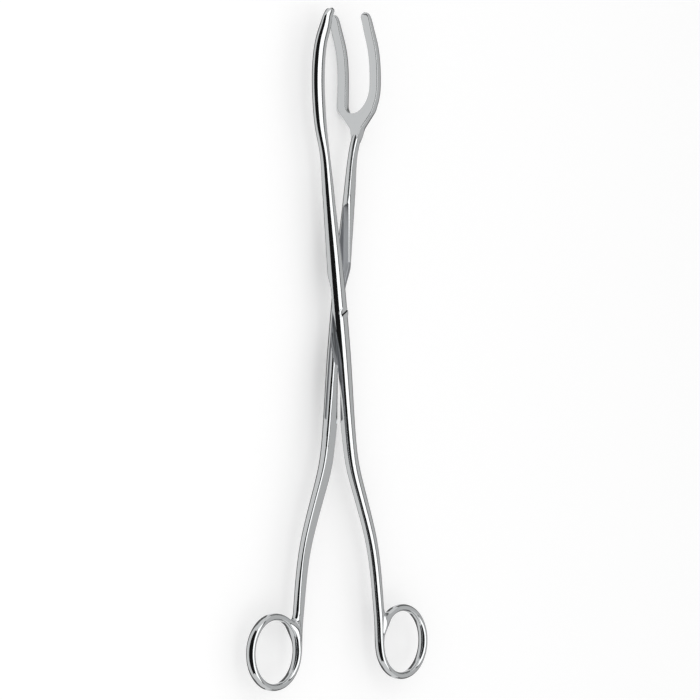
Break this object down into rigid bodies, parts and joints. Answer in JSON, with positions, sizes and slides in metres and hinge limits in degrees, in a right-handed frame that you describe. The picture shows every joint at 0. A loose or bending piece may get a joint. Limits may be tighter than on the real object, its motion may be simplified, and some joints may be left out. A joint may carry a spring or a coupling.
{
  "type": "sterilizing forceps",
  "caption": "Long polished steel forceps whose single curved prong meets a forked jaw, with crossed arms on a screw joint and round finger rings.",
  "frame": {"origin": "centre of the footprint of the bounding box, on the level of its lowest point", "axes": "+Z along the pivot axis towards the screw's slotted head, -X towards the jaws and +X towards the finger rings, midway between the arms; the single prong lies on the -Y side and its ring on the +Y side"},
  "size_m": [0.2901, 0.1172, 0.0218],
  "materials": {
    "polished_steel": "mirror-polished stainless steel",
    "screw_steel": "polished stainless steel, slotted head ground flush"
  },
  "bodies": {
    "forked_half": {"forked_arm": "polished_steel", "pivot_screw": "screw_steel"},
    "single_prong_half": {"single_prong_arm": "polished_steel"}
  },
  "joints": [
    {"name": "pivot", "type": "hinge", "parent": "forked_half", "child": "single_prong_half", "pos_m": [-0.01459, 0, 0.01045], "axis": [0, 0, 1], "range_deg": [-7.6, 30]}
  ]
}
